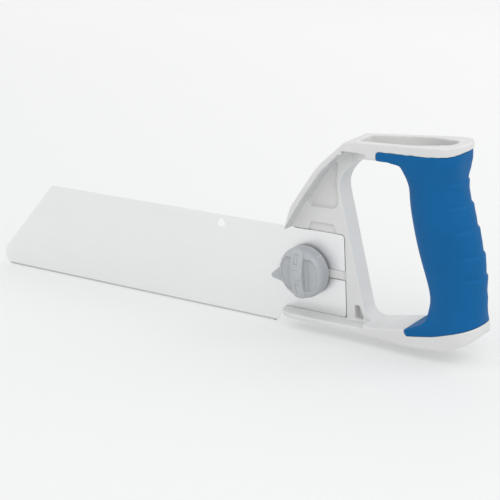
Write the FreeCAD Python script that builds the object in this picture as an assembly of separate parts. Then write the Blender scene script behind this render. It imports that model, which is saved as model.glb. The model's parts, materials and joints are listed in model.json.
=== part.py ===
"""Back-less hand saw: D handle, slotted blade and a screw knob that clamps the blade.

Millimetres.  X runs along the blade towards the grip, Z is up, and the knob is on the -Y side.
The origin is where the clamp axis crosses the middle of the blade's thickness.
"""
import FreeCAD, Part
import math
import os

V = FreeCAD.Vector

# ---- blade -------------------------------------------------------------
BLADE_THICKNESS = 1.0
BLADE_TIP_X = -277.0
BLADE_REAR_X = 28.0
BLADE_REAR_GAP = 0.7
TOOTH_LINE_Z = -40.0
BLADE_TOP_Z = 27.0
TANG_BOTTOM_Z = -27.8
TOOTH_END_X = -28.0
TOOTH_PITCH = 2.1
TOOTH_DEPTH = 0.9
SLOT_WIDTH = 6.6
HANG_HOLE_X = -69.0
HANG_HOLE_Z = 21.5
HANG_HOLE_R = 3.0

# ---- handle frame ------------------------------------------------------
FRAME_HALF_WIDTH = 12.0
REAR_HALF_WIDTH = 15.5
SEAT_Y = 0.6
LAND_Y = -1.5
RECESS_Y = 1.2
CORNER_POCKET_Y = 4.0
LAND_END_X = 47.0
BLEND_END_X = 54.0
BLEND_TOP_Z = 84.8
SEAT_WEB = 4.0
RECESS_WEB = 3.8
FOOT_TOP_Z = -28.0
FOOT_BOTTOM_Z = -32.6
FOOT_NOSE_X = -19.0
BAR_UNDERSIDE_Z = 82.0
SECTION_POINTS = 28
CORE_INSET = 3.0
CORE_WALL = 2.8
TONGUE_SKIN = 2.4
UPPER_TONGUE_BOTTOM_Z = 81.0
LOWER_TONGUE_TOP_Z = -14.0
SPLIT_Z = 20.0
ARM_NOSE = (-15.0, 8.0)
FOOT_NOSE = (FOOT_NOSE_X, 11.5)
TONGUE_END_X = 96.0
GRIP_TOP_Z = 98.0
WELL_BOTTOM_Z = -14.0
LOCATING_RIB = (14.0, 26.0, -2.9, 2.9)
LOCATING_RIB_Y = -0.3
PAD_BOTTOM_Z = 27.5
TOP_REAR_X = 116.5
TRAY_FLOOR = 3.0
FOOT_REAR_X = 127.0
RIB = 2.4
PLATE_T = 1.5
PLATE_SCREW_X = 12.5
PLATE_SCREW_R = 1.5
PLATE_SCREW_ZS = (-6.0, 6.0)
PLATE_SCREW_HEAD_R = 2.9
PLATE_SCREW_HEAD_T = 1.7
CROSS_REACH = 1.6
CROSS_HALF = 0.35

# ---- clamp -------------------------------------------------------------
BOLT_R = 3.0
BOLT_END_Y = -11.6
BOLT_HEAD_WIDTH = 10.0
BOLT_HEAD_T = 4.0
RUNNING_CLEARANCE = 0.05
PRESSURE_WASHER_R = 11.0
PRESSURE_WASHER_FACE_Y = -0.6
PRESSURE_WASHER_T = 1.2
SPRING_WASHER_R = 5.6
SPRING_ROOM_R = 6.2
SPRING_GAP = 1.0
KNOB_R = 17.0
KNOB_BASE_Y = -2.0
KNOB_FACE_Y = -12.2
KNOB_SHOULDER = 5.5
KNOB_BASE_ROUND = 0.6
WING_END_INSET = 0.6
WING_TOP_Y = -15.5
WING_WIDTH = 9.0
WING_DOME_R = 34.0
POINTER_R = 28.5
POINTER_TIP_R = 2.0
POINTER_SPREAD = 20.0
POINTER_ANGLE = 194.0
POINTER_NEAR_Y = -6.8
SCOOP_FLOOR_Y = -10.3
SCOOP_R = 14.2
SCOOP_HALF_HEIGHT = 10.8
SCOOP_ROUND = 1.0
INSERT_R = 4.0
INSERT_BASE_Y = -3.4
INSERT_TOP_Y = -9.0
CLIP_ROOM_R = 3.8
CLIP_R = 3.5
CLIP_Y = -11.2
CLIP_T = 0.6
CLIP_GROOVE_R = 2.4
CAP_INNER_Y = -13.2

FAR = 60.0


# ---- drawing helpers ---------------------------------------------------
def rounded_wire(corners, place):
    """Closed wire of straight runs joined by tangent arcs; corners are (u, v, radius)."""
    edges = []
    starts = []
    ends = []
    mids = []
    count = len(corners)
    for i in range(count):
        u0, v0, _ = corners[i - 1]
        u1, v1, radius = corners[i]
        u2, v2, _ = corners[(i + 1) % count]
        back = V(u0 - u1, v0 - v1, 0)
        ahead = V(u2 - u1, v2 - v1, 0)
        back.normalize()
        ahead.normalize()
        here = V(u1, v1, 0)
        if radius <= 0:
            starts.append(here)
            ends.append(here)
            mids.append(None)
            continue
        half = back.getAngle(ahead) / 2
        run = radius / math.tan(half)
        bisector = back + ahead
        bisector.normalize()
        centre = here + bisector * (radius / math.sin(half))
        starts.append(here + back * run)
        ends.append(here + ahead * run)
        mids.append(centre - bisector * radius)
    for i in range(count):
        if mids[i] is not None:
            edges.append(Part.Arc(place(starts[i]), place(mids[i]), place(ends[i])).toShape())
        nxt = starts[(i + 1) % count]
        side = V(corners[(i + 1) % count][0], corners[(i + 1) % count][1], 0)
        side = side - V(corners[i][0], corners[i][1], 0)
        if (nxt - ends[i]).dot(side) < -1e-6:
            raise ValueError("the rounds at both ends of a run overlap")
        if ends[i].distanceToPoint(nxt) > 1e-6:
            edges.append(Part.LineSegment(place(ends[i]), place(nxt)).toShape())
    return Part.Wire(edges)


def side_prism(corners, y_low, y_high):
    """Solid whose outline is drawn in X and Z and runs from y_low to y_high."""
    wire = rounded_wire(corners, lambda p: V(p.x, y_low, p.y))
    return Part.Face(wire).extrude(V(0, y_high - y_low, 0))


def plan_prism(corners, z_low, z_high):
    """Solid whose outline is drawn in X and Y and runs from z_low to z_high."""
    wire = rounded_wire(corners, lambda p: V(p.x, p.y, z_low))
    return Part.Face(wire).extrude(V(0, 0, z_high - z_low))


def disc(radius, y_near, y_far, x=0.0, z=0.0):
    """Round disc or rod along Y between two Y values."""
    return Part.makeCylinder(radius, y_far - y_near, V(x, y_near, z), V(0, 1, 0))


def edges_at(shape, y):
    """Edges that lie in the plane at that Y."""
    return [e for e in shape.Edges if abs(e.BoundBox.YMin - y) + abs(e.BoundBox.YMax - y) < 0.01]


def box(x0, x1, y0, y1, z0, z1):
    return Part.makeBox(x1 - x0, y1 - y0, z1 - z0, V(x0, y0, z0))


def save(name, shape):
    shape = shape.removeSplitter()
    if not shape.isValid():
        raise ValueError(name + " is not a valid shape")
    solids = shape.Solids
    if len(solids) == 1:
        shape = solids[0]
    shape.exportStep("parts/" + name + ".step")
    print(name, "solids", len(solids), "volume %.1f" % shape.Volume)


# ---- blade -------------------------------------------------------------
def saw_blade():
    half = BLADE_THICKNESS / 2
    body = side_prism([
        (BLADE_TIP_X, TOOTH_LINE_Z, 7.0),
        (BLADE_TIP_X + 1.0, TOOTH_LINE_Z + 12.0, 12.0),
        (BLADE_TIP_X + 55.0, BLADE_TOP_Z, 3.0),
        (BLADE_REAR_X, BLADE_TOP_Z, 2.0),
        (BLADE_REAR_X, TANG_BOTTOM_Z, 2.0),
        (TOOTH_END_X + 7.5, TANG_BOTTOM_Z, 3.0),
        (TOOTH_END_X + 2.0, TOOTH_LINE_Z + TOOTH_DEPTH, 2.0),
        (TOOTH_END_X, TOOTH_LINE_Z, 0.0),
    ], -half, half)
    slot = box(0, BLADE_REAR_X + 1, -half - 1, half + 1, -SLOT_WIDTH / 2, SLOT_WIDTH / 2)
    slot = slot.fuse(disc(SLOT_WIDTH / 2, -half - 1, half + 1))
    hang_hole = disc(HANG_HOLE_R, -half - 1, half + 1, HANG_HOLE_X, HANG_HOLE_Z)
    return body.cut([slot, hang_hole, tooth_gullets()])


def tooth_gullets():
    """One saw-toothed cutter that leaves the row of teeth along the blade's lower edge."""
    first = BLADE_TIP_X + 7.0
    count = int((TOOTH_END_X - first) / TOOTH_PITCH)
    below = TOOTH_LINE_Z - 2.0
    points = [V(first, -1, below), V(first, -1, TOOTH_LINE_Z)]
    for i in range(count):
        x = first + i * TOOTH_PITCH
        points.append(V(x + 0.55 * TOOTH_PITCH, -1, TOOTH_LINE_Z + TOOTH_DEPTH))
        points.append(V(x + TOOTH_PITCH, -1, TOOTH_LINE_Z))
    points.append(V(first + count * TOOTH_PITCH, -1, below))
    points.append(points[0])
    return Part.Face(Part.makePolygon(points)).extrude(V(0, 2, 0))


# ---- handle ------------------------------------------------------------
def silhouette(y_low, y_high):
    """Outer side outline of the white moulding, without the finger opening."""
    return side_prism([
        (-11.0, PAD_BOTTOM_Z, 1.5),
        (-4.8, 44.0, 20.0),
        (16.0, 72.5, 60.0),
        (38.0, 91.5, 8.0),
        (112.0, 95.8, 5.0),
        (118.0, 96.4, 1.5),
        (113.0, 83.0, 14.0),
        (116.0, 64.0, 40.0),
        (126.5, 20.0, 60.0),
        (127.5, -20.0, 9.0),
        (111.0, -29.6, 30.0),
        (82.0, FOOT_BOTTOM_Z, 60.0),
        (36.0, FOOT_BOTTOM_Z + 0.5, 200.0),
        (FOOT_NOSE_X, FOOT_BOTTOM_Z + 1.4, 1.5),
        (FOOT_NOSE_X, FOOT_TOP_Z + 0.2, 1.0),
        (FOOT_NOSE_X + 6.0, -20.0, 5.0),
        (-11.0, 0.0, 20.0),
    ], y_low, y_high)


def plan(z_low, z_high, front, rear_x, inset=0.0):
    """Plan outline of the moulding: narrow at the front, wide and round at the rear.

    front is (x, radius) of the nose.
    """
    w = FRAME_HALF_WIDTH - inset
    r = REAR_HALF_WIDTH - inset
    front_x = front[0]
    front_r = front[1] - inset
    return plan_prism([
        (front_x, -w, front_r),
        (45.0, -w, 60.0),
        (88.0, -r, 40.0),
        (rear_x - 3.0, -r, 11.0),
        (rear_x, 0.0, 12.0),
        (rear_x - 3.0, r, 11.0),
        (88.0, r, 40.0),
        (45.0, w, 60.0),
        (front_x, w, front_r),
    ], z_low, z_high)


def finger_opening(y_low, y_high, margin=0.0):
    """Through opening for the fingers; margin widens it all round."""
    wire = rounded_wire([
        (43.7, FOOT_TOP_Z + 0.6, 9.0),
        (25.4, 62.5, 16.0),
        (35.0, 74.5, 30.0),
        (50.0, BAR_UNDERSIDE_Z, 30.0),
        (75.5, BAR_UNDERSIDE_Z, 9.5),
        (77.0, 56.0, 60.0),
        (93.0, -15.0, 5.0),
        (79.0, -21.5, 10.0),
    ], lambda p: V(p.x, y_low, p.y))
    if margin > 0:
        wire = wire.makeOffset2D(margin)
    return Part.Face(wire).extrude(V(0, y_high - y_low, 0))


def grip_section(z, centre_x, half_x, half_y, fullness):
    """Closed oval; fullness 2 is an ellipse, and more squares its corners."""
    points = []
    for i in range(SECTION_POINTS):
        angle = 2 * math.pi * i / SECTION_POINTS
        c = math.cos(angle)
        s = math.sin(angle)
        x = math.copysign(abs(c) ** (2 / fullness), c)
        y = math.copysign(abs(s) ** (2 / fullness), s)
        points.append(V(centre_x + half_x * x, half_y * y, z))
    curve = Part.BSplineCurve()
    curve.interpolate(Points=points, PeriodicFlag=True)
    return Part.Wire(curve.toShape())


def grip_column(inset, z_low, z_high):
    """Oval column of the grip, leaning back as it goes down; inset makes the inner core."""
    sections = [
        (-40.0, 101.0, 27.0, 15.6, 3.6),
        (-24.0, 103.0, 24.5, 15.6, 3.6),
        (-14.5, 106.8, 19.3, 15.8, 2.8),
        (-7.0, 108.4, 17.7, 16.1, 2.1),
        (4.0, 108.6, 17.9, 16.5, 2.0),
        (22.0, 105.6, 20.2, 17.0, 2.0),
        (40.0, 101.5, 20.6, 17.0, 2.0),
        (56.0, 98.0, 19.8, 16.5, 2.0),
        (71.0, 95.3, 18.5, 15.8, 2.3),
        (79.5, 93.6, 20.2, 15.6, 3.2),
        (90.0, 92.0, 22.8, 15.5, 3.4),
        (102.0, 91.0, 27.0, 15.5, 3.8),
    ]
    wires = []
    for z, centre_x, half_x, half_y, fullness in sections:
        wires.append(grip_section(z, centre_x, half_x - inset, half_y - inset, fullness))
    column = Part.makeLoft(wires, True, False)
    return column.common(box(0, 200, -50, 50, z_low, z_high))


def rubber_band(y_low, y_high):
    """Side outline that the rubber covers: the column, an upper tongue and a lower tongue."""
    return side_prism([
        (60.0, 87.7, 2.6),
        (97.0, 89.0, 60.0),
        (112.0, 90.4, 20.0),
        (122.0, 94.0, 0.0),
        (140.0, 94.0, 0.0),
        (140.0, -10.0, 0.0),
        (128.0, -13.0, 0.0),
        (100.0, -22.0, 60.0),
        (79.0, -25.8, 2.2),
        (78.0, -19.0, 2.2),
        (82.0, -10.0, 0.0),
        (70.0, 50.0, 0.0),
        (70.0, BAR_UNDERSIDE_Z - 1.5, 0.0),
        (60.0, BAR_UNDERSIDE_Z - 1.5, 2.6),
    ], y_low, y_high)


def bars_inside(inset):
    """Top bar and foot where the tongues lie, taken in by the inset."""
    w = REAR_HALF_WIDTH + 1.5
    upper = plan(UPPER_TONGUE_BOTTOM_Z + inset, GRIP_TOP_Z, ARM_NOSE, TOP_REAR_X, inset)
    lower = plan(FOOT_BOTTOM_Z, LOWER_TONGUE_TOP_Z - inset, FOOT_NOSE, FOOT_REAR_X, inset)
    bars = upper.fuse(lower)
    bars = bars.cut(finger_opening(-w, w, inset))
    return bars.common(box(0, TONGUE_END_X, -w, w, -FAR, 2 * FAR))


def rubber_envelope():
    """Everything inside the rubber's outer surface, core included."""
    w = REAR_HALF_WIDTH + 1.5
    column = grip_column(0.0, FOOT_BOTTOM_Z, GRIP_TOP_Z).cut(finger_opening(-w, w))
    return column.fuse(bars_inside(0.0)).common(rubber_band(-w, w))


def grip_core():
    """White core inside the rubber, joined to the top bar and to the foot."""
    w = REAR_HALF_WIDTH + 1.5
    column = grip_column(CORE_INSET, FOOT_BOTTOM_Z, GRIP_TOP_Z + 1.0).common(silhouette(-w, w))
    column = column.cut(finger_opening(-w, w, CORE_INSET))
    skin_room = bars_inside(TONGUE_SKIN).common(rubber_band(-w, w))
    return column.fuse(skin_room)


def grip_overmould():
    return rubber_envelope().cut(grip_core())


def moulding_body():
    """Solid white moulding before its pockets are cut."""
    w = REAR_HALF_WIDTH + 1.0
    upper = plan(SPLIT_Z, 2 * FAR, ARM_NOSE, TOP_REAR_X)
    lower = plan(-FAR, SPLIT_Z, FOOT_NOSE, FOOT_REAR_X)
    halves = upper.fuse(lower)
    body = silhouette(-w, w).common(halves.removeSplitter())
    return body.cut(finger_opening(-w, w))


def near_zone():
    """Open space on the near side, between the front flange and the foot's shelf."""
    far_out = -REAR_HALF_WIDTH - 2.0
    land = side_prism([
        (-40.0, FOOT_TOP_Z, 0.0),
        (-40.0, 24.0, 0.0),
        (-13.0, 24.0, 0.0),
        (-1.4, 42.3, 20.0),
        (18.8, 69.8, 60.0),
        (37.5, 87.0, 4.0),
        (38.5, 70.0, 0.0),
        (BLEND_END_X, 70.0, 0.0),
        (LAND_END_X, 0.0, 0.0),
        (LAND_END_X, FOOT_TOP_Z, 0.0),
    ], far_out, LAND_Y)
    blend = plan_prism([
        (34.5, LAND_Y, 0.0),
        (BLEND_END_X, -FRAME_HALF_WIDTH - 1.0, 0.0),
        (34.5, -FRAME_HALF_WIDTH - 1.0, 0.0),
    ], 62.0, BLEND_TOP_Z)
    deep = side_prism([
        (-1.0, 43.5, 3.0),
        (18.8, 69.8, 40.0),
        (25.5, 75.6, 1.0),
        (23.6, 62.0, 12.0),
        (24.8, 43.5, 5.0),
    ], far_out, RECESS_Y)
    pocket = side_prism([
        (-60.0, FOOT_TOP_Z, 0.0),
        (-60.0, PAD_BOTTOM_Z, 0.0),
        (BLADE_REAR_X + BLADE_REAR_GAP, PAD_BOTTOM_Z, 2.2),
        (BLADE_REAR_X + BLADE_REAR_GAP, FOOT_TOP_Z, 0.0),
    ], far_out, SEAT_Y)
    notch = side_prism([
        (1.0, PAD_BOTTOM_Z - 1.0, 0.0),
        (4.0, 33.0, 1.0),
        (20.5, 33.0, 1.0),
        (23.5, PAD_BOTTOM_Z - 1.0, 0.0),
    ], far_out, SEAT_Y)
    corner = side_prism([
        (35.0, FOOT_TOP_Z + 1.0, 1.0),
        (35.0, -18.0, 1.0),
        (38.4, -18.0, 1.0),
        (41.6, FOOT_TOP_Z + 1.0, 1.0),
    ], far_out, CORNER_POCKET_Y)
    return [land, blend, deep, pocket, notch, corner]


def far_zone():
    """Cored pockets on the far side, with ribs left between them."""
    out = REAR_HALF_WIDTH + 2.0
    lower = side_prism([
        (-9.0, -24.5, 4.0),
        (-9.0, 23.5, 4.0),
        (29.0, 23.5, 4.0),
        (38.5, -24.5, 4.0),
    ], SEAT_Y + SEAT_WEB, out)
    upper = side_prism([
        (-8.5, 31.0, 2.5),
        (0.5, 43.5, 20.0),
        (19.5, 69.5, 40.0),
        (27.0, 76.2, 1.2),
        (21.5, 61.0, 6.0),
        (27.5, 31.0, 4.0),
    ], RECESS_Y + RECESS_WEB, out)
    ribs = []
    for x, z, angle in ((20.0, 0.0, 90.0), (8.0, 49.0, 0.0), (16.0, 60.0, 50.0)):
        rib = box(-40, 40, 0, FRAME_HALF_WIDTH - 2.0, -RIB / 2, RIB / 2)
        rib.rotate(V(0, 0, 0), V(0, 1, 0), -angle)
        rib.translate(V(x, 0, z))
        ribs.append(rib)
    return [lower.cut(ribs[0]), upper.cut(ribs[1]).cut(ribs[2])]


def top_tray():
    """Teardrop hollow that opens at the top bar."""
    return plan_prism([
        (45.0, -7.8, 3.0),
        (85.0, -11.5, 30.0),
        (108.0, -5.5, 6.0),
        (108.0, 5.5, 6.0),
        (85.0, 11.5, 30.0),
        (45.0, 7.8, 3.0),
    ], BAR_UNDERSIDE_Z + TRAY_FLOOR, 110.0)


def grip_well():
    """Hollow inside the grip's core, open into the tray."""
    return grip_column(CORE_INSET + CORE_WALL, WELL_BOTTOM_Z, BAR_UNDERSIDE_Z + 4.0)


def locating_rib():
    """Low rib on the web that keeps the blade's slot level behind the bolt."""
    x_low, x_high, z_low, z_high = LOCATING_RIB
    return box(x_low, x_high, LOCATING_RIB_Y, SEAT_Y + 1.0, z_low, z_high)


def clamp_holes():
    """Bolt hole and two screw holes through the web."""
    holes = [disc(BOLT_R + RUNNING_CLEARANCE, -FAR, FAR)]
    for z in PLATE_SCREW_ZS:
        holes.append(disc(PLATE_SCREW_R, SEAT_Y + 1.0, FAR, PLATE_SCREW_X, z))
    return holes


def handle_frame():
    body = moulding_body().cut(near_zone() + far_zone())
    w = REAR_HALF_WIDTH + 2.0
    body = body.cut(rubber_band(-w, w)).fuse([grip_core(), locating_rib()])
    return body.cut(top_tray()).cut(grip_well()).cut(clamp_holes())


# ---- clamp -------------------------------------------------------------
def backing_plate():
    near = SEAT_Y + SEAT_WEB
    plate = side_prism([
        (-7.5, -10.0, 3.0),
        (-7.5, 10.0, 3.0),
        (17.5, 10.0, 3.0),
        (17.5, -10.0, 3.0),
    ], near, near + PLATE_T)
    return plate.cut(clamp_holes())


def plate_screws():
    seat = SEAT_Y + SEAT_WEB + PLATE_T
    screws = []
    for z in PLATE_SCREW_ZS:
        shank = disc(PLATE_SCREW_R - RUNNING_CLEARANCE, SEAT_Y + 1.4, seat + 0.2, PLATE_SCREW_X, z)
        head = disc(PLATE_SCREW_HEAD_R, seat, seat + PLATE_SCREW_HEAD_T, PLATE_SCREW_X, z)
        head = head.makeFillet(0.7, [head.Edges[0]])
        floor = seat + PLATE_SCREW_HEAD_T / 2
        cross = box(-CROSS_REACH, CROSS_REACH, floor, FAR, -CROSS_HALF, CROSS_HALF)
        cross = cross.fuse(box(-CROSS_HALF, CROSS_HALF, floor, FAR, -CROSS_REACH, CROSS_REACH))
        cross.translate(V(PLATE_SCREW_X, 0, z))
        screws.append(shank.fuse(head).cut(cross).removeSplitter())
    return Part.makeCompound(screws)


def hexagon(across_flats, y_near, y_far):
    corner_r = across_flats / math.sqrt(3)
    points = []
    for i in range(7):
        angle = math.radians(60 * i)
        points.append(V(corner_r * math.cos(angle), y_near, corner_r * math.sin(angle)))
    return Part.Face(Part.makePolygon(points)).extrude(V(0, y_far - y_near, 0))


def clamp_bolt():
    """Hexagon-headed bolt on the far side; its grooved tip holds the retaining clip."""
    seat = SEAT_Y + SEAT_WEB + PLATE_T
    head = hexagon(BOLT_HEAD_WIDTH, seat, seat + BOLT_HEAD_T)
    crown = Part.makeCone(7.2, 4.6, 4.4, V(0, seat - 0.2, 0), V(0, 1, 0))
    shank = disc(BOLT_R, BOLT_END_Y, seat)
    tip = Part.makeCone(BOLT_R - 0.5, BOLT_R, 0.6, V(0, BOLT_END_Y, 0), V(0, 1, 0))
    shank = shank.cut(box(-5, 5, BOLT_END_Y - 1, BOLT_END_Y + 0.6, -5, 5)).fuse(tip)
    groove = disc(6.0, CLIP_Y, CLIP_Y + CLIP_T + 0.1).cut(disc(CLIP_GROOVE_R, -FAR, FAR))
    return head.common(crown).fuse(shank).cut(groove)


def retaining_clip():
    ring = disc(CLIP_R, CLIP_Y + 0.05, CLIP_Y + CLIP_T)
    ring = ring.cut(disc(CLIP_GROOVE_R + 0.05, -FAR, FAR))
    return ring.cut(box(-1.6, 1.6, -FAR, FAR, 0, 8))


def pressure_washer():
    far = PRESSURE_WASHER_FACE_Y
    ring = disc(PRESSURE_WASHER_R, far - PRESSURE_WASHER_T, far)
    ring = ring.cut(disc(BOLT_R + RUNNING_CLEARANCE, -FAR, FAR))
    return ring.makeChamfer(0.25, [e for e in ring.Edges if e.Length > 40])


def spring_washer():
    """Split spring washer in the knob's underside, between the insert and the washer."""
    near = INSERT_BASE_Y
    far = PRESSURE_WASHER_FACE_Y - PRESSURE_WASHER_T
    ring = disc(SPRING_WASHER_R, near, far).cut(disc(BOLT_R + 0.2, -FAR, FAR))
    gap = box(-SPRING_GAP / 2, SPRING_GAP / 2, -FAR, FAR, 0, SPRING_WASHER_R + 2)
    gap.rotate(V(0, (near + far) / 2, 0), V(0, 0, 1), 25)
    return ring.cut(gap)


def knob_blank():
    """Knob body of revolution: a round boss with a wide rounded shoulder."""
    drum = disc(KNOB_R, KNOB_FACE_Y, KNOB_BASE_Y)
    drum = drum.makeFillet(KNOB_SHOULDER, edges_at(drum, KNOB_FACE_Y))
    return drum.makeFillet(KNOB_BASE_ROUND, edges_at(drum, KNOB_BASE_Y))


def knob_pointer():
    """Triangular pointer that stands out of the rim and shows the locked side."""
    angle = math.radians(POINTER_ANGLE)
    spread = math.radians(POINTER_SPREAD)
    tip = (POINTER_R * math.cos(angle), POINTER_R * math.sin(angle), POINTER_TIP_R)
    left = (KNOB_R * math.cos(angle - spread), KNOB_R * math.sin(angle - spread), 0.0)
    right = (KNOB_R * math.cos(angle + spread), KNOB_R * math.sin(angle + spread), 0.0)
    return side_prism([left, tip, right, (0.0, 0.0, 0.0)], POINTER_NEAR_Y, KNOB_BASE_Y - KNOB_BASE_ROUND)


def knob_wing():
    """Raised bar across the knob that the fingers turn."""
    half = WING_WIDTH / 2
    reach = KNOB_R - WING_END_INSET
    bar = side_prism([
        (-half, -reach, 3.0),
        (-half, reach, 3.0),
        (half, reach, 3.0),
        (half, -reach, 3.0),
    ], WING_TOP_Y, KNOB_BASE_Y - 2.0)
    return bar.common(wing_dome()).common(disc(reach, -FAR, 0))


def wing_dome():
    return Part.makeSphere(WING_DOME_R, V(0, WING_TOP_Y + WING_DOME_R, 0))


def knob_scoops():
    """Two D-shaped hollows beside the wing."""
    scoops = []
    half = WING_WIDTH / 2
    for side in (-1, 1):
        cutter = disc(SCOOP_R, KNOB_FACE_Y - 2, SCOOP_FLOOR_Y)
        high = SCOOP_HALF_HEIGHT
        cutter = cutter.common(box(half, FAR, -FAR, FAR, -high, high))
        if side < 0:
            cutter = cutter.mirror(V(0, 0, 0), V(1, 0, 0))
        scoops.append(cutter.makeFillet(SCOOP_ROUND, edges_at(cutter, SCOOP_FLOOR_Y)))
    return scoops


def clamp_knob():
    knob = knob_blank().cut(knob_scoops()).fuse([knob_wing(), knob_pointer()])
    bores = [
        disc(SPRING_ROOM_R, INSERT_BASE_Y, 0.0),
        disc(INSERT_R, INSERT_TOP_Y, 0.0),
        disc(CLIP_ROOM_R, WING_TOP_Y - 2, INSERT_TOP_Y),
    ]
    return knob.cut(bores)


def knob_insert():
    sleeve = disc(INSERT_R, INSERT_TOP_Y, INSERT_BASE_Y)
    return sleeve.cut(disc(BOLT_R + RUNNING_CLEARANCE, -FAR, FAR))


def knob_cap():
    """Press-in cap over the bolt's end, flush with the wing."""
    return disc(CLIP_ROOM_R, WING_TOP_Y, CAP_INNER_Y).common(wing_dome())


def main():
    os.makedirs("parts", exist_ok=True)
    save("saw_blade", saw_blade())
    save("handle_frame", handle_frame())
    save("grip_overmould", grip_overmould())
    save("backing_plate", backing_plate())
    save("plate_screws", plate_screws())
    save("clamp_bolt", clamp_bolt())
    save("retaining_clip", retaining_clip())
    save("pressure_washer", pressure_washer())
    save("spring_washer", spring_washer())
    save("clamp_knob", clamp_knob())
    save("knob_insert", knob_insert())
    save("knob_cap", knob_cap())


main()
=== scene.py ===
"""Looks of the hand saw: moulded white handle, blue rubber grip, ground blade, grey clamp knob.

Metres, in the frame's own axes: X along the blade towards the grip, Z up, the knob on the -Y side.
"""
import json
import math

import bmesh
import bpy
import numpy as np
from mathutils import Matrix, Vector


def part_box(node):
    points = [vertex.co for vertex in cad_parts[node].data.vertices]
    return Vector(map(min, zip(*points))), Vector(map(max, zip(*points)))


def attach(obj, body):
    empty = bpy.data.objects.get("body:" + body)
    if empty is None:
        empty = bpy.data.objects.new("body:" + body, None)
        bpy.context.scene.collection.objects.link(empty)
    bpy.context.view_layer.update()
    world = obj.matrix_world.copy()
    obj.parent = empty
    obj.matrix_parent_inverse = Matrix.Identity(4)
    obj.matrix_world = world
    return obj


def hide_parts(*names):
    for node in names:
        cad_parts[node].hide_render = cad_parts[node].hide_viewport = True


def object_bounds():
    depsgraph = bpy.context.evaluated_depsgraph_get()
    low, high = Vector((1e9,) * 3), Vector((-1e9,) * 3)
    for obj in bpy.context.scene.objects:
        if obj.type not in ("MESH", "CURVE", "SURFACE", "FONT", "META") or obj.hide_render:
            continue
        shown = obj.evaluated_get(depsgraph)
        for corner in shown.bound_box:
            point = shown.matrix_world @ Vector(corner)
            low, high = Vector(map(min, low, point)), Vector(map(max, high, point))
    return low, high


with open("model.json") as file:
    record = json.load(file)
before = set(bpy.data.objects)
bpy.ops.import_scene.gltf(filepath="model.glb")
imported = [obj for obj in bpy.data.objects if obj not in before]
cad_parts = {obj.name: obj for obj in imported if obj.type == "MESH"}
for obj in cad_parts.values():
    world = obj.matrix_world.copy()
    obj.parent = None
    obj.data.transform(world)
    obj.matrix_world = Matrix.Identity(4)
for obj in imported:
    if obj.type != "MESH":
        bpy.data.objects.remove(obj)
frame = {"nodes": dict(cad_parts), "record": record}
CAD_LOW, CAD_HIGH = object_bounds()

MM = 0.001
TOOTH_TIP_Z = CAD_LOW.z
TOOTH_DEPTH = 0.9 * MM

# ---- view --------------------------------------------------------------
VIEW_AZIMUTH = math.radians(37.0)
VIEW_ELEVATION = math.radians(18.33)
VIEW_ROLL = math.radians(2.84)
VIEW_DISTANCE = 0.984
VIEW_TARGET = Vector((-0.0465, 0.0, 0.0056))
LENS = 107.5
SENSOR_WIDTH = 36.0
NEAREST = 0.01

# ---- meshing -----------------------------------------------------------
FRAME_VOXEL = 0.55 * MM
GRIP_VOXEL = 0.55 * MM
KNOB_VOXEL = 0.28 * MM
SAME_POINT = 0.001 * MM
SMOOTH_FACTOR = 0.5
LEAST_WEIGHT = 0.02


# ---- mesh helpers ------------------------------------------------------
def new_piece(name, mesh):
    piece = bpy.data.objects.new(name, mesh)
    bpy.context.scene.collection.objects.link(piece)
    return piece


def merged_copy(node, name):
    """A new object with the CAD node's shape and its doubled corners merged."""
    mesh = frame["nodes"][node].data.copy()
    mesh.materials.clear()
    mesh.name = name
    bm = bmesh.new()
    bm.from_mesh(mesh)
    bmesh.ops.remove_doubles(bm, verts=bm.verts, dist=SAME_POINT)
    bm.to_mesh(mesh)
    bm.free()
    return new_piece(name, mesh)


def apply_modifiers(piece):
    graph = bpy.context.evaluated_depsgraph_get()
    mesh = bpy.data.meshes.new_from_object(piece.evaluated_get(graph))
    old = piece.data
    piece.modifiers.clear()
    piece.data = mesh
    bpy.data.meshes.remove(old)
    mesh.name = piece.name


def moulded(node, name, voxel, passes):
    """The CAD node's shape with every edge rounded as a mould rounds it."""
    piece = merged_copy(node, name)
    remesh = piece.modifiers.new("even mesh", "REMESH")
    remesh.mode = "VOXEL"
    remesh.voxel_size = voxel
    rounding = piece.modifiers.new("rounding", "SMOOTH")
    rounding.factor = SMOOTH_FACTOR
    rounding.iterations = passes
    apply_modifiers(piece)
    low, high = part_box(node)
    set_points(piece, np.clip(get_points(piece), low, high))
    piece.data.polygons.foreach_set("use_smooth", [True] * len(piece.data.polygons))
    return piece


def soften(piece, weights, passes):
    """Smooths the piece further where the weights are above 0."""
    group = piece.vertex_groups.new(name="soft")
    for index in np.nonzero(weights > LEAST_WEIGHT)[0]:
        group.add([int(index)], float(weights[index]), "REPLACE")
    rounding = piece.modifiers.new("softening", "SMOOTH")
    rounding.factor = SMOOTH_FACTOR
    rounding.iterations = passes
    rounding.vertex_group = "soft"
    apply_modifiers(piece)
    piece.vertex_groups.clear()


def get_points(piece):
    points = np.zeros(len(piece.data.vertices) * 3, np.float32)
    piece.data.vertices.foreach_get("co", points)
    return points.reshape(-1, 3).astype(float)


def get_normals(piece):
    normals = np.zeros(len(piece.data.vertices) * 3, np.float32)
    piece.data.vertices.foreach_get("normal", normals)
    return normals.reshape(-1, 3).astype(float)


def set_points(piece, points):
    piece.data.vertices.foreach_set("co", points.astype(np.float32).ravel())
    piece.data.update()


def ramp(value, low, high):
    """Smooth step from 0 at low to 1 at high."""
    t = np.clip((value - low) / (high - low), 0.0, 1.0)
    return t * t * (3 - 2 * t)


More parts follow.
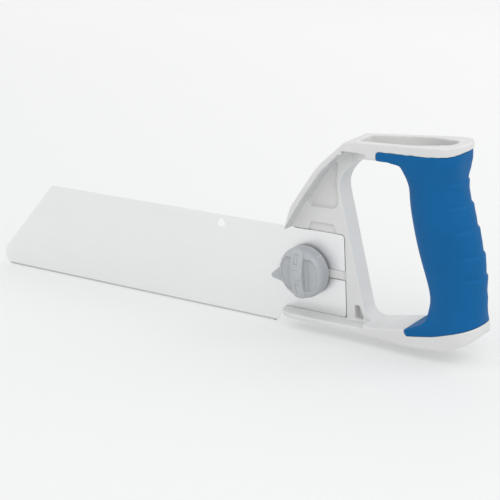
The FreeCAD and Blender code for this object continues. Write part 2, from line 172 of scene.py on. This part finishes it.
# ---- material helpers --------------------------------------------------
class Graph:
    """A node material with a principled shader and a few short ways to add nodes."""

    def __init__(self, name, color, roughness, metallic=0.0):
        self.material = bpy.data.materials.new(name)
        self.material.use_nodes = True
        self.tree = self.material.node_tree
        self.shader = self.tree.nodes["Principled BSDF"]
        self.shader.inputs["Base Color"].default_value = (*color, 1.0)
        self.shader.inputs["Roughness"].default_value = roughness
        self.shader.inputs["Metallic"].default_value = metallic
        self.place = self.tree.nodes.new("ShaderNodeTexCoord").outputs["Object"]
        self.height = None

    def link(self, output, target):
        self.tree.links.new(output, target)

    def stretched(self, scale):
        """Object coordinates scaled by (x, y, z)."""
        mapping = self.tree.nodes.new("ShaderNodeMapping")
        mapping.inputs["Scale"].default_value = scale
        self.link(self.place, mapping.inputs["Vector"])
        return mapping.outputs["Vector"]

    def noise(self, scale, detail=3.0, roughness=0.55, place=None):
        node = self.tree.nodes.new("ShaderNodeTexNoise")
        node.inputs["Scale"].default_value = scale
        node.inputs["Detail"].default_value = detail
        node.inputs["Roughness"].default_value = roughness
        self.link(place or self.place, node.inputs["Vector"])
        return node.outputs["Fac"]

    def cells(self, scale, place=None):
        node = self.tree.nodes.new("ShaderNodeTexVoronoi")
        node.inputs["Scale"].default_value = scale
        self.link(place or self.place, node.inputs["Vector"])
        return node.outputs["Distance"]

    def remap(self, value, low, high, out_low, out_high):
        node = self.tree.nodes.new("ShaderNodeMapRange")
        ends = {"From Min": low, "From Max": high, "To Min": out_low, "To Max": out_high}
        for name, number in ends.items():
            node.inputs[name].default_value = number
        self.link(value, node.inputs["Value"])
        return node.outputs["Result"]

    def combine(self, a, b, operation="ADD"):
        node = self.tree.nodes.new("ShaderNodeMath")
        node.operation = operation
        for target, value in zip(node.inputs, (a, b)):
            if isinstance(value, (int, float)):
                target.default_value = value
            else:
                self.link(value, target)
        return node.outputs["Value"]

    def mix(self, factor, a, b):
        """Colour a where factor is 0 and b where it is 1."""
        node = self.tree.nodes.new("ShaderNodeMix")
        node.data_type = "RGBA"
        self.link(factor, node.inputs["Factor"])
        for target, value in ((node.inputs["A"], a), (node.inputs["B"], b)):
            if isinstance(value, tuple):
                target.default_value = (*value, 1.0)
            else:
                self.link(value, target)
        return node.outputs["Result"]

    def worn_edges(self, low, high):
        """1 on sharp outer edges and 0 on flats and hollows."""
        node = self.tree.nodes.new("ShaderNodeNewGeometry")
        return self.remap(node.outputs["Pointiness"], low, high, 0.0, 1.0)

    def band(self, low, high, axis="Z"):
        """0 below the low place along the axis and 1 above the high one."""
        split = self.tree.nodes.new("ShaderNodeSeparateXYZ")
        self.link(self.place, split.inputs["Vector"])
        return self.remap(split.outputs[axis], low, high, 0.0, 1.0)

    def gap_shade(self, reach):
        """Painted shade: 1 in narrow gaps and inner corners, where shade falls, and 0 on open faces."""
        node = self.tree.nodes.new("ShaderNodeAmbientOcclusion")
        node.samples = 12
        node.inputs["Distance"].default_value = reach
        return self.remap(node.outputs["AO"], 0.30, 0.72, 1.0, 0.0)

    def color(self, value):
        self.link(value, self.shader.inputs["Base Color"])

    def roughness(self, value):
        self.link(value, self.shader.inputs["Roughness"])

    def bump(self, height, depth, strength=1.0):
        """Relief of that depth in metres; several calls add up."""
        node = self.tree.nodes.new("ShaderNodeBump")
        node.inputs["Strength"].default_value = strength
        node.inputs["Distance"].default_value = depth
        self.link(height, node.inputs["Height"])
        if self.height is not None:
            self.link(self.height, node.inputs["Normal"])
        self.height = node.outputs["Normal"]
        self.link(self.height, self.shader.inputs["Normal"])


# ---- materials ---------------------------------------------------------
def white_plastic():
    """Glass-filled moulded plastic with a fine spark-eroded texture and painted shade in its gaps and inner
    corners.
    """
    g = Graph("white_plastic", (0.68, 0.68, 0.672), 0.42)
    cloud = g.noise(26.0, 2.0)
    speck = g.noise(900.0, 2.0)
    tone = g.mix(g.remap(cloud, 0.35, 0.65, 0.0, 1.0), (0.655, 0.657, 0.650), (0.688, 0.690, 0.684))
    tone = g.mix(g.remap(speck, 0.62, 0.80, 0.0, 0.35), tone, (0.60, 0.60, 0.595))
    tone = g.mix(g.worn_edges(0.51, 0.58), tone, (0.75, 0.75, 0.745))
    # painted shade: the colour goes near black in narrow gaps and inner corners, where shade falls
    g.color(g.mix(g.combine(g.gap_shade(1.5 * MM), 0.85, "MULTIPLY"), tone, (0.16, 0.15, 0.14)))
    g.roughness(g.remap(g.noise(140.0, 4.0), 0.3, 0.7, 0.34, 0.50))
    g.bump(g.noise(2600.0, 2.0), 0.03 * MM, 0.55)
    g.bump(g.noise(60.0, 2.0), 0.15 * MM, 0.12)
    g.shader.inputs["Subsurface Weight"].default_value = 0.06
    g.shader.inputs["Subsurface Scale"].default_value = 1.5 * MM
    g.shader.inputs["Subsurface Radius"].default_value = (1.0, 0.95, 0.9)
    return g.material


def blue_rubber():
    """Soft-touch rubber: a fine matt stipple and faint handling marks."""
    g = Graph("blue_rubber", (0.004, 0.082, 0.255), 0.55)
    cloud = g.noise(34.0, 3.0)
    handling = g.noise(9.0, 2.0)
    tone = g.mix(g.remap(cloud, 0.35, 0.65, 0.0, 1.0), (0.003, 0.103, 0.290), (0.004, 0.114, 0.315))
    tone = g.mix(g.worn_edges(0.50, 0.62), tone, (0.005, 0.138, 0.368))
    g.color(tone)
    rough = g.combine(g.remap(handling, 0.3, 0.7, 0.50, 0.60), g.remap(cloud, 0.3, 0.7, -0.03, 0.05))
    g.roughness(rough)
    g.bump(g.cells(1500.0), 0.05 * MM, 0.35)
    g.bump(g.noise(3200.0, 2.0), 0.02 * MM, 0.5)
    g.shader.inputs["Specular IOR Level"].default_value = 0.12
    return g.material


def grey_plastic():
    """Mid-grey moulded plastic of the knob, slightly polished on its edges by use."""
    g = Graph("grey_plastic", (0.33, 0.345, 0.375), 0.4)
    cloud = g.noise(120.0, 3.0)
    tone = g.mix(g.remap(cloud, 0.35, 0.65, 0.0, 1.0), (0.425, 0.440, 0.462), (0.455, 0.468, 0.490))
    tone = g.mix(g.worn_edges(0.51, 0.60), tone, (0.54, 0.55, 0.57))
    g.color(tone)
    g.roughness(g.remap(g.noise(420.0, 4.0), 0.3, 0.7, 0.32, 0.47))
    g.bump(g.noise(3000.0, 2.0), 0.03 * MM, 0.5)
    return g.material


def blade_steel():
    """Ground and lightly lacquered saw steel with its grinding lines along the blade."""
    g = Graph("blade_steel", (0.86, 0.87, 0.87), 0.34, metallic=0.88)
    lines = g.noise(1.0, 5.0, 0.7, g.stretched((14.0, 2600.0, 2600.0)))
    wide = g.noise(1.0, 3.0, 0.5, g.stretched((3.0, 240.0, 240.0)))
    cloud = g.noise(22.0, 3.0)
    tone = g.mix(g.remap(lines, 0.35, 0.65, 0.0, 1.0), (0.868, 0.875, 0.878), (0.895, 0.90, 0.902))
    tone = g.mix(g.remap(cloud, 0.45, 0.7, 0.0, 0.3), tone, (0.85, 0.858, 0.865))
    g.color(g.mix(g.band(TOOTH_TIP_Z, TOOTH_TIP_Z + 1.7 * TOOTH_DEPTH), (0.20, 0.21, 0.23), tone))
    rough = g.combine(g.remap(lines, 0.3, 0.7, 0.30, 0.42), g.remap(wide, 0.3, 0.7, -0.03, 0.05))
    g.roughness(rough)
    g.bump(lines, 0.010 * MM, 0.3)
    g.shader.inputs["Anisotropic"].default_value = 0.35
    return g.material


def turned_metal(name, dark, light, rough_low, rough_high, grain):
    """Small metal hardware with fine machining lines and a cloudy plated tone."""
    g = Graph(name, light, rough_low, metallic=1.0)
    cloud = g.noise(260.0, 4.0)
    g.color(g.mix(g.remap(cloud, 0.35, 0.65, 0.0, 1.0), dark, light))
    g.roughness(g.remap(g.noise(700.0, 3.0), 0.3, 0.7, rough_low, rough_high))
    g.bump(g.noise(1.0, 3.0, 0.6, g.stretched((grain, 300.0, grain))), 0.01 * MM, 0.6)
    return g.material


FLOOR_FADE_START = 0.0
FLOOR_FADE_END = 0.9


def studio_floor():
    """White backdrop with painted light: it glows a little so that the shadows on it stay light, and its
    colour is painted a little lighter towards the back.
    """
    g = Graph("studio_floor", (0.86, 0.865, 0.865), 0.6)
    # painted light: the floor's colour is lighter towards the back
    g.color(g.mix(g.band(FLOOR_FADE_START, FLOOR_FADE_END, "Y"), (0.56, 0.565, 0.565), (0.66, 0.66, 0.657)))
    # painted light: the floor glows, though no lamp lights it, so that the shadows under the saw come out
    # lighter
    g.shader.inputs["Emission Color"].default_value = (0.985, 0.995, 0.99, 1.0)
    g.shader.inputs["Emission Strength"].default_value = 0.28
    g.shader.inputs["Specular IOR Level"].default_value = 0.25
    return g.material


MATERIALS = {
    "white_plastic": white_plastic(),
    "blue_rubber": blue_rubber(),
    "grey_plastic": grey_plastic(),
    "blade_steel": blade_steel(),
    "brass": turned_metal("brass", (0.55, 0.40, 0.17), (0.70, 0.53, 0.26), 0.22, 0.38, 1800.0),
    "zinc_steel": turned_metal("zinc_steel", (0.50, 0.51, 0.53), (0.66, 0.67, 0.68), 0.26, 0.44, 2200.0),
    "spring_steel": turned_metal(
        "spring_steel", (0.10, 0.10, 0.11), (0.20, 0.20, 0.22), 0.30, 0.50, 1500.0
    ),
}


def finish_piece(piece, node, material):
    """Gives a new piece its material and its body, and hides the CAD node that it stands for."""
    piece.data.materials.clear()
    piece.data.materials.append(MATERIALS[material])
    for body, members in frame["record"]["behaviour"]["bodies"].items():
        if node in members:
            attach(piece, body)
    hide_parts(node)


# ---- handle ------------------------------------------------------------
def handle_moulding():
    return moulded("handle_frame", "handle_moulding", FRAME_VOXEL, 5)


# centre of the grip's oval and its half sizes in X and Y, by height, in millimetres
GRIP_HEIGHTS = (-24.0, -14.5, -7.0, 4.0, 22.0, 40.0, 56.0, 71.0, 79.5, 90.0)
GRIP_CENTRE_X = (103.0, 106.8, 108.4, 108.6, 105.6, 101.5, 98.0, 95.3, 93.6, 92.0)
GRIP_HALF_X = (24.5, 19.3, 17.7, 17.9, 20.2, 20.6, 19.8, 18.5, 20.2, 22.8)
GRIP_HALF_Y = (15.6, 15.8, 16.1, 16.5, 17.0, 17.0, 16.5, 15.8, 15.6, 15.5)

# heights of the steps down the back of the grip, in millimetres, and their depth
STEP_HEIGHTS = (85.0, 72.0, 58.0, 43.5, 28.0, 14.5, 0.0)
STEP_DEPTH = 1.0
STEP_TOP_SHARE = 0.3
STEP_TOP_FALL = 0.15
STEP_LIP_SHARE = 0.12
LAST_LIP_SHARE = 0.45
STEP_CURVE = 1.2

# angle round the oval where the steps start to fade and where they are gone, in radians
STEP_FULL_ANGLE = 0.50
STEP_END_ANGLE = 0.95
SCALLOP_ANGLE = 0.10
SCALLOP_HEIGHT = 14.5

# only the outer skin moves: depths below the surface, over the grip's mean half size
MEAN_HALF = 17.0
SKIN_INNER = 2.0
SKIN_OUTER = 0.4

# where the tongues run into the column: low and high X, low and high Z, in millimetres
JUNCTIONS = ((66.0, 96.0, 71.0, 87.0), (83.0, 101.0, -18.5, -5.0))
JUNCTION_EDGE = 2.5
JUNCTION_PASSES = 70


def junction_weights(points):
    x, y, z = points.T
    weights = np.zeros(len(x))
    for x_low, x_high, z_low, z_high in JUNCTIONS:
        across = ramp(x, x_low, x_low + JUNCTION_EDGE) * ramp(-x, -x_high, JUNCTION_EDGE - x_high)
        along = ramp(z, z_low, z_low + JUNCTION_EDGE) * ramp(-z, -z_high, JUNCTION_EDGE - z_high)
        weights = np.maximum(weights, across * along)
    return weights


def rubber_grip():
    """Rubber sleeve with stepped finger stops down its back."""
    piece = moulded("grip_overmould", "rubber_grip", GRIP_VOXEL, 4)
    soften(piece, junction_weights(get_points(piece) / MM), JUNCTION_PASSES)
    points = get_points(piece) / MM
    x, y, z = points.T
    centre = np.interp(z, GRIP_HEIGHTS, GRIP_CENTRE_X)
    half_x = np.interp(z, GRIP_HEIGHTS, GRIP_HALF_X)
    half_y = np.interp(z, GRIP_HEIGHTS, GRIP_HALF_Y)
    around = np.arctan2(y / half_y, (x - centre) / half_x)
    reach = np.hypot(y / half_y, (x - centre) / half_x)
    outside = ramp(reach, 1.0 - SKIN_INNER / MEAN_HALF, 1.0 - SKIN_OUTER / MEAN_HALF)
    depth = np.zeros(len(z))
    for high, low in zip(STEP_HEIGHTS[:-1], STEP_HEIGHTS[1:]):
        down = np.clip((high - z) / (high - low), 0.0, 1.0)
        inside = (z <= high) & (z > low)
        start = STEP_TOP_FALL * ramp(down, 0.0, STEP_TOP_SHARE)
        rest = (1.0 - STEP_TOP_FALL) * down ** STEP_CURVE * ramp(1.0 - down, 0.0, STEP_LIP_SHARE)
        fall = start + rest
        if low == STEP_HEIGHTS[-1]:
            fall = fall * ramp(1.0 - down, 0.0, LAST_LIP_SHARE)
        depth = np.where(inside, fall, depth)
    scallop = SCALLOP_ANGLE * np.cos(2 * math.pi * (z - STEP_HEIGHTS[1]) / SCALLOP_HEIGHT)
    back = 1.0 - ramp(np.abs(around), STEP_FULL_ANGLE + scallop, STEP_END_ANGLE + scallop)
    move = STEP_DEPTH * depth * back * outside
    points -= get_normals(piece) * move[:, None]
    set_points(piece, points * MM)
    return piece


# ---- knob --------------------------------------------------------------
WING_TOP_Y = -15.5
WING_DOME_R = 34.0
MARK_EDGE = 0.22
MARK_DEPTH = 0.7
MARK_REACH = 0.8
WING_REACH = 20.0

# engraved strokes on the wing: low and high X, low and high Z, in millimetres
MARK_STROKES = (
    (-2.3, -1.6, 7.0, 13.6),
    (0.1, 0.8, 7.0, 13.6),
    (-2.3, 0.8, 12.9, 13.6),
    (-2.3, 0.8, 7.0, 7.7),
    (-1.3, -0.5, -12.4, -5.8),
    (-1.3, 1.0, -6.6, -5.8),
)


def engrave(points, strokes):
    """Sinks the points inside each stroke that are on the wing's top or just under it."""
    x, y, z = points.T
    off_axis = np.minimum(np.hypot(x, z), WING_REACH)
    dome = WING_TOP_Y + WING_DOME_R - np.sqrt(WING_DOME_R ** 2 - off_axis ** 2)
    sunk = np.zeros(len(x))
    for x_low, x_high, z_low, z_high in strokes:
        across = ramp(x, x_low - MARK_EDGE, x_low + MARK_EDGE)
        across = across * ramp(-x, -x_high - MARK_EDGE, MARK_EDGE - x_high)
        along = ramp(z, z_low - MARK_EDGE, z_low + MARK_EDGE)
        along = along * ramp(-z, -z_high - MARK_EDGE, MARK_EDGE - z_high)
        sunk = np.maximum(sunk, across * along)
    points[:, 1] += MARK_DEPTH * sunk * (y < dome + MARK_REACH)


def moulded_knob():
    piece = moulded("clamp_knob", "moulded_knob", KNOB_VOXEL, 4)
    points = get_points(piece) / MM
    engrave(points, MARK_STROKES)
    set_points(piece, points * MM)
    return piece


def moulded_cap():
    return moulded("knob_cap", "moulded_cap", KNOB_VOXEL, 2)


# ---- blade -------------------------------------------------------------
TOOTH_PITCH = 2.1 * MM
TOOTH_SET = 0.2 * MM
BLADE_EDGE = 0.1 * MM
GUM_MARGIN = 0.3 * MM
FLAT_ANGLE = math.radians(0.5)
SHARP_ANGLE = math.radians(60.0)


def ground_blade():
    """Blade with softened edges and teeth set to alternate sides."""
    piece = merged_copy("saw_blade", "ground_blade")
    bm = bmesh.new()
    bm.from_mesh(piece.data)
    bmesh.ops.dissolve_limit(
        bm, angle_limit=FLAT_ANGLE, verts=bm.verts, edges=bm.edges, delimit={"NORMAL"}
    )
    gum = TOOTH_TIP_Z + TOOTH_DEPTH + GUM_MARGIN
    sharp = []
    for edge in bm.edges:
        lowest = min(v.co.z for v in edge.verts)
        if lowest > gum and edge.is_manifold and edge.calc_face_angle(0.0) > SHARP_ANGLE:
            sharp.append(edge)
    bmesh.ops.bevel(bm, geom=sharp, offset=BLADE_EDGE, segments=2, profile=0.5, affect="EDGES")
    geometry = bm.verts[:] + bm.edges[:] + bm.faces[:]
    bmesh.ops.bisect_plane(bm, geom=geometry, plane_co=(0, 0, gum), plane_no=(0, 0, 1))
    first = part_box("saw_blade")[0].x
    for vert in bm.verts:
        drop = (TOOTH_TIP_Z + TOOTH_DEPTH - vert.co.z) / TOOTH_DEPTH
        if drop > 0.5:
            number = round((vert.co.x - first) / TOOTH_PITCH)
            side = 1 if number % 2 else -1
            vert.co.y += side * TOOTH_SET * drop
    bm.to_mesh(piece.data)
    bm.free()
    return piece


# ---- assembly ----------------------------------------------------------
finish_piece(handle_moulding(), "handle_frame", "white_plastic")
finish_piece(rubber_grip(), "grip_overmould", "blue_rubber")
finish_piece(moulded_knob(), "clamp_knob", "grey_plastic")
finish_piece(moulded_cap(), "knob_cap", "grey_plastic")
finish_piece(ground_blade(), "saw_blade", "blade_steel")

for entry in frame["record"]["subparts"]:
    node = frame["nodes"][entry["node"]]
    if node.hide_render:
        continue
    node.data.materials.clear()
    node.data.materials.append(MATERIALS[entry["material_slot"]])


# ---- studio ------------------------------------------------------------
FLOOR_GAP = 0.1 * MM
FLOOR_Z = CAD_LOW.z - FLOOR_GAP
FLOOR_HALF = 4.0
SWEEP_START = 2.6
SWEEP_RADIUS = 0.6
SWEEP_STEPS = 12
WALL_TOP = 2.5


def floor_sweep():
    """Floor that curves up behind the object into a plain wall."""
    away = Vector((-math.sin(VIEW_AZIMUTH), math.cos(VIEW_AZIMUTH), 0))
    across = Vector((math.cos(VIEW_AZIMUTH), math.sin(VIEW_AZIMUTH), 0))
    profile = [(-FLOOR_HALF, 0.0), (SWEEP_START, 0.0)]
    for step in range(1, SWEEP_STEPS + 1):
        turn = math.radians(90.0 * step / SWEEP_STEPS)
        along = SWEEP_START + SWEEP_RADIUS * math.sin(turn)
        profile.append((along, SWEEP_RADIUS * (1 - math.cos(turn))))
    profile.append((SWEEP_START + SWEEP_RADIUS, WALL_TOP))
    bm = bmesh.new()
    rows = []
    for along, high in profile:
        row = []
        for side in (-FLOOR_HALF, FLOOR_HALF):
            row.append(bm.verts.new(away * along + across * side + Vector((0, 0, FLOOR_Z + high))))
        rows.append(row)
    for low, high in zip(rows[:-1], rows[1:]):
        bm.faces.new((low[0], low[1], high[1], high[0]))
    mesh = bpy.data.meshes.new("studio_floor")
    bm.to_mesh(mesh)
    bm.free()
    mesh.polygons.foreach_set("use_smooth", [True] * len(mesh.polygons))
    mesh.materials.append(studio_floor())
    return new_piece("studio_floor", mesh)


def view_point(azimuth, elevation, distance):
    """Point seen from the target in that direction, in degrees, azimuth 0 being the -Y side."""
    a, e = math.radians(azimuth), math.radians(elevation)
    direction = Vector((math.sin(a) * math.cos(e), -math.cos(a) * math.cos(e), math.sin(e)))
    return VIEW_TARGET + distance * direction


def area_light(name, azimuth, elevation, distance, size, power, color=(1.0, 1.0, 1.0)):
    data = bpy.data.lights.new(name, "AREA")
    data.shape = "DISK"
    data.size = size
    data.energy = power
    data.color = color
    light = bpy.data.objects.new(name, data)
    bpy.context.scene.collection.objects.link(light)
    light.location = view_point(azimuth, elevation, distance)
    light.rotation_euler = (VIEW_TARGET - light.location).to_track_quat("-Z", "Y").to_euler()


def studio():
    floor_sweep()
    world = bpy.data.worlds.new("studio")
    world.use_nodes = True
    sky = world.node_tree.nodes["Background"]
    sky.inputs["Color"].default_value = (0.99, 0.995, 0.995, 1.0)
    sky.inputs["Strength"].default_value = 0.88
    bpy.context.scene.world = world
    area_light("key", 52.0, 40.0, 1.6, 0.9, 4.4, (1.0, 0.99, 0.975))
    area_light("fill", -38.0, 50.0, 1.8, 1.0, 2.2, (0.98, 0.99, 1.0))
    area_light("rim", 120.0, 40.0, 1.8, 1.0, 4.0)
    bpy.context.scene.view_settings.view_transform = "Standard"


def camera():
    right = Vector((math.cos(VIEW_AZIMUTH), math.sin(VIEW_AZIMUTH), 0))
    place = view_point(math.degrees(VIEW_AZIMUTH), math.degrees(VIEW_ELEVATION), VIEW_DISTANCE)
    back = (place - VIEW_TARGET).normalized()
    up = back.cross(right)
    cos_r, sin_r = math.cos(VIEW_ROLL), math.sin(VIEW_ROLL)
    across = right * cos_r - up * sin_r
    above = right * sin_r + up * cos_r
    data = bpy.data.cameras.new("camera")
    data.lens = LENS
    data.sensor_width = SENSOR_WIDTH
    data.clip_start = NEAREST
    obj = bpy.data.objects.new("camera", data)
    bpy.context.scene.collection.objects.link(obj)
    turn = Matrix((across, above, back)).transposed().to_4x4()
    obj.matrix_world = Matrix.Translation(place) @ turn
    bpy.context.scene.camera = obj


camera()
studio()
